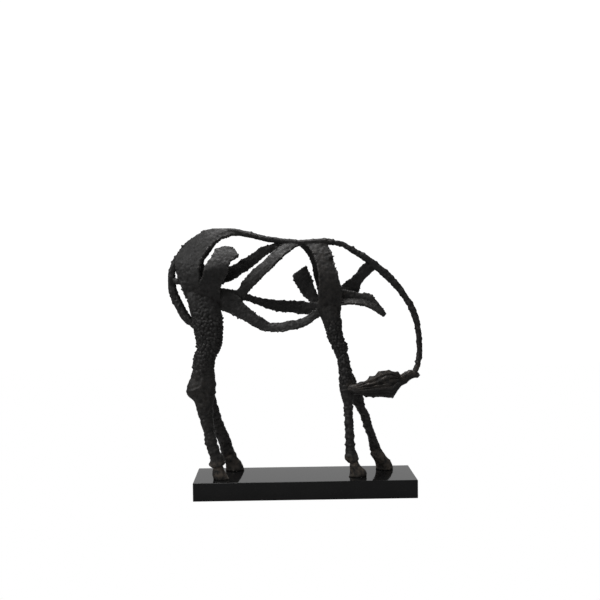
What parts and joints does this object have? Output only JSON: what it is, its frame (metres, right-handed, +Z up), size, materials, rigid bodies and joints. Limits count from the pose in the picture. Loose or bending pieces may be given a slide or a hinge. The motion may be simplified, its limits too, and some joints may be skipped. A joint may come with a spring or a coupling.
{
  "type": "horse statue",
  "caption": "Tabletop statue of a grazing horse made of cast iron strips and lumpy rods, standing on a low polished black stone plinth.",
  "frame": {"origin": "middle of the plinth's underside", "axes": "+Z up, +X from the tail towards the head along the plinth, -Y towards the horse's near side"},
  "size_m": [0.4226, 0.1, 0.4425],
  "materials": {
    "iron": "near-black wax over rough cast iron, low sheen, brown where rubbed",
    "stone": "polished black stone"
  },
  "bodies": {
    "root": {"horse": "iron", "plinth": "stone"}
  },
  "joints": []
}
